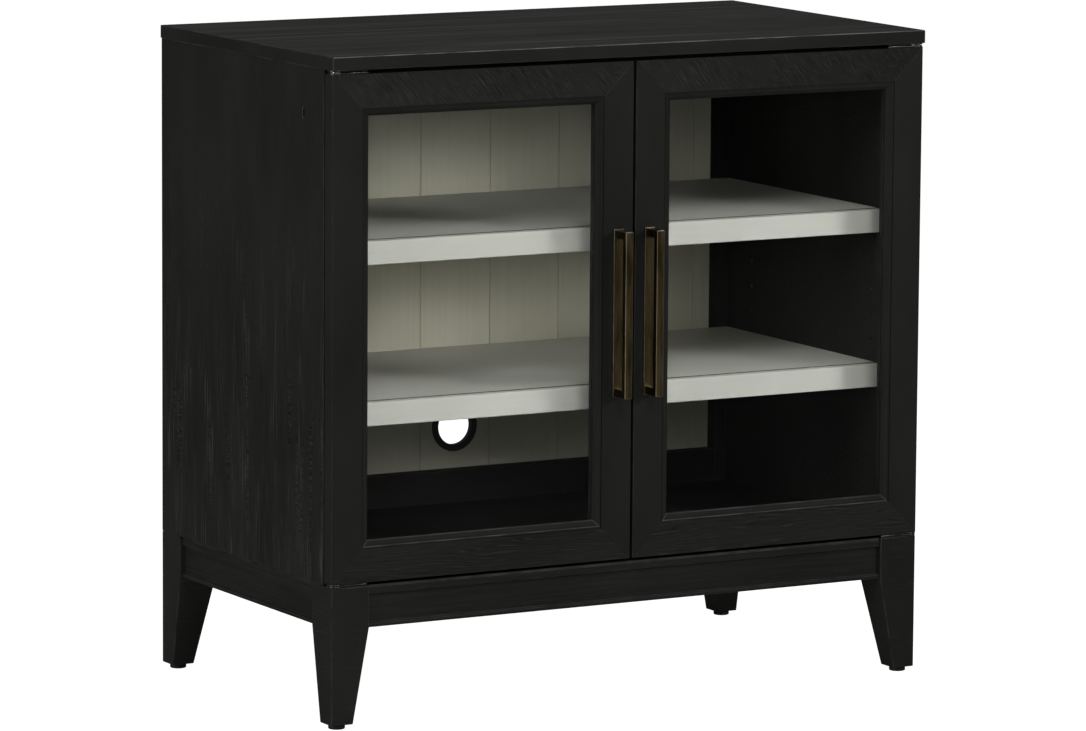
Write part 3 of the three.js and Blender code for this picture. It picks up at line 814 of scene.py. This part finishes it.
bpy.ops.object.select_all(action="DESELECT")
bpy.ops.mesh.primitive_cylinder_add(vertices=40, radius=head_radius, depth=head_height,
                                    location=(0, 0, head_height / 2))
bpy.ops.object.transform_apply(location=True, rotation=True, scale=True)
screw_head = bpy.context.object
screw_head.name = "screw_head"
soften(screw_head, head_edge_radius, lambda run: abs(run.z) < 0.0001, least=0.0001, segments=4)
for turn in (0, math.pi / 2):
    bpy.ops.object.select_all(action="DESELECT")
    bpy.ops.mesh.primitive_cube_add(size=1, location=(0, 0, head_height), rotation=(0, 0, turn),
                                    scale=(recess_length, recess_width, recess_depth * 2))
    bpy.ops.object.transform_apply(location=True, rotation=True, scale=True)
    slot_cutter = bpy.context.object
    pick(screw_head)
    recess = screw_head.modifiers.new("recess", "BOOLEAN")
    recess.object = slot_cutter
    recess.solver = "EXACT"
    bpy.ops.object.modifier_apply(modifier="recess")
    bpy.data.objects.remove(slot_cutter)
dress(screw_head, bronze, bright_bronze)
screw_mesh = screw_head.data
bpy.data.objects.remove(screw_head)


def drive(name, place, facing, size, proud, body):
    """A copy of the screw, scaled, with its head standing proud of a face by the given amount."""
    screw = bpy.data.objects.new(name, screw_mesh.copy())
    bpy.context.scene.collection.objects.link(screw)
    facing = Vector(facing)
    turn = facing.to_track_quat("Z", "Y").to_matrix().to_4x4()
    seat = Vector(place) + facing * (proud - head_height * size)
    screw.data.transform(Matrix.Translation(seat) @ turn @ Matrix.Scale(size, 4))
    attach(screw, body)


stile_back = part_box("left_door_inner_stile")[1].y
for side_name in ("left", "right"):
    bar_low, bar_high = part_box(f"{side_name}_handle_bar")
    bar_x = (bar_low.x + bar_high.x) / 2
    for height_name, height in (("low", bar_low.z + handle_screw_inset),
                                ("high", bar_high.z - handle_screw_inset)):
        drive(f"{side_name}_handle_{height_name}_screw", (bar_x, stile_back, height), (0, 1, 0),
              handle_screw_size, head_height, f"{side_name}_door")

back_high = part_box("back_panel")[1]
cleat_low, cleat_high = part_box("rear_right_cleat")
edge_x = (cleat_low.x + cleat_high.x) / 2
low_row = (rail_low.z + rail_high.z) / 2
high_row = (front_rail_low.z + front_rail_high.z) / 2
back_rows = 5
back_columns = (-0.25, -0.125, 0.0, 0.125, 0.25)
back_places = [(side * edge_x, low_row + (high_row - low_row) * row / (back_rows - 1))
               for side in (-1, 1) for row in range(back_rows)]
back_places += [(x, z) for z in (low_row, high_row) for x in back_columns]
for number, (x, z) in enumerate(back_places):
    drive(f"back_screw_{number}", (x, back_high.y, z), (0, 1, 0), back_screw_size, back_screw_proud,
          "case")

# ---- Knife hinges ----
# Flat bronze leaves let into the gaps above and below each door, with round ends that meet on the
# pin. A small bright washer lies round each upper pin, and flush screws hold the leaves.
steel = aged_metal("plain_steel", (0.62, 0.62, 0.61), (0.42, 0.42, 0.41), 0, 0.34, 0.2)
leaf_end_radius = 0.009
boss_radius = 0.0058
boss_height = 0.0012
boss_bore = 0.0021
boss_edge = 0.0003
boss_gap = 0.00005
leaf_edge_radius = 0.0003
leaf_screws = (0.021, 0.034)
leaf_screw_back = 0.0025
leaf_screw_size = 0.6
leaf_low, leaf_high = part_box("left_door_top_leaf")
leaf_thickness = leaf_high.z - leaf_low.z
top_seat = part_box("left_case_top_leaf")[1].z - leaf_thickness
bottom_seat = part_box("left_case_bottom_leaf")[0].z + leaf_thickness
door_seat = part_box("left_door_bottom_leaf")[0].z
for side_name in ("left", "right"):
    for leaf_name in ("case_bottom_leaf", "case_top_leaf", "door_bottom_leaf", "door_top_leaf"):
        node = f"{side_name}_{leaf_name}"
        leaf = copy_of(node, f"{node}_bronze")
        soften(leaf, leaf_edge_radius, lambda run: abs(run.z) < 0.0001, least=0.001, segments=2)
        dress(leaf, bronze, bright_bronze)
        stand_for(leaf, node)
    leaf_low, leaf_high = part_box(f"{side_name}_door_top_leaf")
    inward = 1 if side_name == "left" else -1
    end_x = leaf_low.x if side_name == "left" else leaf_high.x
    pivot_x = end_x + leaf_end_radius * inward
    pivot_y = leaf_low.y + leaf_end_radius
    boss_outline = [(boss_bore, 0.0), (boss_radius - boss_edge, 0.0), (boss_radius, boss_edge),
                    (boss_radius, boss_height - boss_edge), (boss_radius - boss_edge, boss_height),
                    (boss_bore, boss_height)]
    boss = turned_piece(f"{side_name}_hinge_boss", boss_outline,
                        (pivot_x, pivot_y, leaf_high.z + boss_gap), (0, 0, 1), steps=48)
    dress(boss, steel)
    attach(boss, body_of[f"{side_name}_door_top_leaf"])
    for leaf_name, seat, upward in (("case_top_leaf", top_seat, -1), ("case_bottom_leaf", bottom_seat, 1),
                                    ("door_top_leaf", leaf_high.z, 1), ("door_bottom_leaf", door_seat, -1)):
        for number, away in enumerate(leaf_screws):
            drive(f"{side_name}_{leaf_name}_screw_{number}",
                  (pivot_x + away * inward, pivot_y + leaf_screw_back, seat), (0, 0, upward),
                  leaf_screw_size, flush_proud, body_of[f"{side_name}_{leaf_name}"])

# ---- Shelf supports ----
# Bent steel tabs, bronzed dark like the hinges, each on a pin pushed into its hole in the side.
tab_edge_radius = 0.0003
for shelf_name in ("upper", "lower"):
    for side_name in ("left", "right"):
        for end_name in ("front", "rear"):
            node = f"{shelf_name}_shelf_{side_name}_{end_name}_support"
            support = copy_of(node, f"{node}_tab")
            soften(support, tab_edge_radius, least=0.008, segments=2)
            dress(support, bronze, bronze)
            stand_for(support, node)

# ---- Magnet catch ----
# A black housing screwed up under the front rail, with a magnet for each door and a steel strike
# plate screwed to the back of each door where it meets them.
node = "double_magnet_catch"
housing_edge_radius = 0.0008
housing = copy_of(node, "magnet_housing")
soften(housing, housing_edge_radius)
dress(housing, black_plastic, black_plastic)
stand_for(housing, node)
catch_low, catch_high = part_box(node)
magnet_width = 0.022
magnet_height = 0.008
magnet_depth = 0.004
magnet_proud = 0.00012
magnet_edge_radius = 0.0004
strike_width = 0.026
strike_height = 0.013
strike_thickness = 0.0011
strike_x = 0.020
strike_corner_radius = 0.003
strike_edge_radius = 0.0002
strike_screw_shift = 0.009
strike_screw_size = 0.55
catch_z = (catch_low.z + catch_high.z) / 2
for side_name, side in (("left", -1), ("right", 1)):
    magnet = block(f"{side_name}_magnet",
                   (side * strike_x - magnet_width / 2, catch_low.y - magnet_proud,
                    catch_z - magnet_height / 2),
                   (side * strike_x + magnet_width / 2, catch_low.y + magnet_depth,
                    catch_z + magnet_height / 2))
    soften(magnet, magnet_edge_radius, least=0.003)
    dress(magnet, steel, steel)
    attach(magnet, "case")
    strike = block(f"{side_name}_strike_plate",
                   (side * strike_x - strike_width / 2, stile_back, catch_z - strike_height / 2),
                   (side * strike_x + strike_width / 2, stile_back + strike_thickness,
                    catch_z + strike_height / 2))
    soften(strike, strike_corner_radius, along_axis(1), least=0.0005, segments=5)
    soften(strike, strike_edge_radius, lambda run: abs(run.y) < 0.0001, least=0.0001, segments=2)
    dress(strike, steel, steel)
    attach(strike, f"{side_name}_door")
    for number, shift in enumerate((-strike_screw_shift, strike_screw_shift)):
        drive(f"{side_name}_strike_screw_{number}",
              (side * strike_x + shift, stile_back + strike_thickness, catch_z), (0, 1, 0),
              strike_screw_size, flush_proud, f"{side_name}_door")

# ---- Levelling feet ----
# A round plastic pad on a threaded stem that screws up into the end of each leg.
thread_root = 0.0033
thread_crest = 0.0039
thread_pitch = 0.00125
thread_turns = 20
for corner_name in corner_names:
    node = f"{corner_name}_leveller"
    foot_low, foot_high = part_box(node)
    foot_x = (foot_low.x + foot_high.x) / 2
    foot_y = (foot_low.y + foot_high.y) / 2
    pad_outline = [(0.0035, 0.0006), (0.0086, 0.0), (0.0096, 0.0004), (0.0100, 0.0012),
                   (0.0100, 0.0036), (0.0095, 0.0043), (0.0070, 0.0050), (0.0066, 0.0056),
                   (0.0035, 0.0057)]
    pad = turned_piece(f"{corner_name}_foot_pad", pad_outline, (foot_x, foot_y, foot_low.z),
                       (0, 0, 1), steps=48)
    dress(pad, black_plastic)
    stand_for(pad, node)
    stem_outline = [(0, 0), (thread_root, 0)]
    for turn in range(thread_turns):
        stem_outline.append((thread_crest, (turn + 0.5) * thread_pitch))
        stem_outline.append((thread_root, (turn + 1) * thread_pitch))
    stem_outline.append((0, thread_turns * thread_pitch))
    stem = turned_piece(f"{corner_name}_foot_stem", stem_outline,
                        (foot_x, foot_y, foot_high.z - thread_turns * thread_pitch), (0, 0, 1), steps=28)
    dress(stem, steel)
    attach(stem, body_of[node])
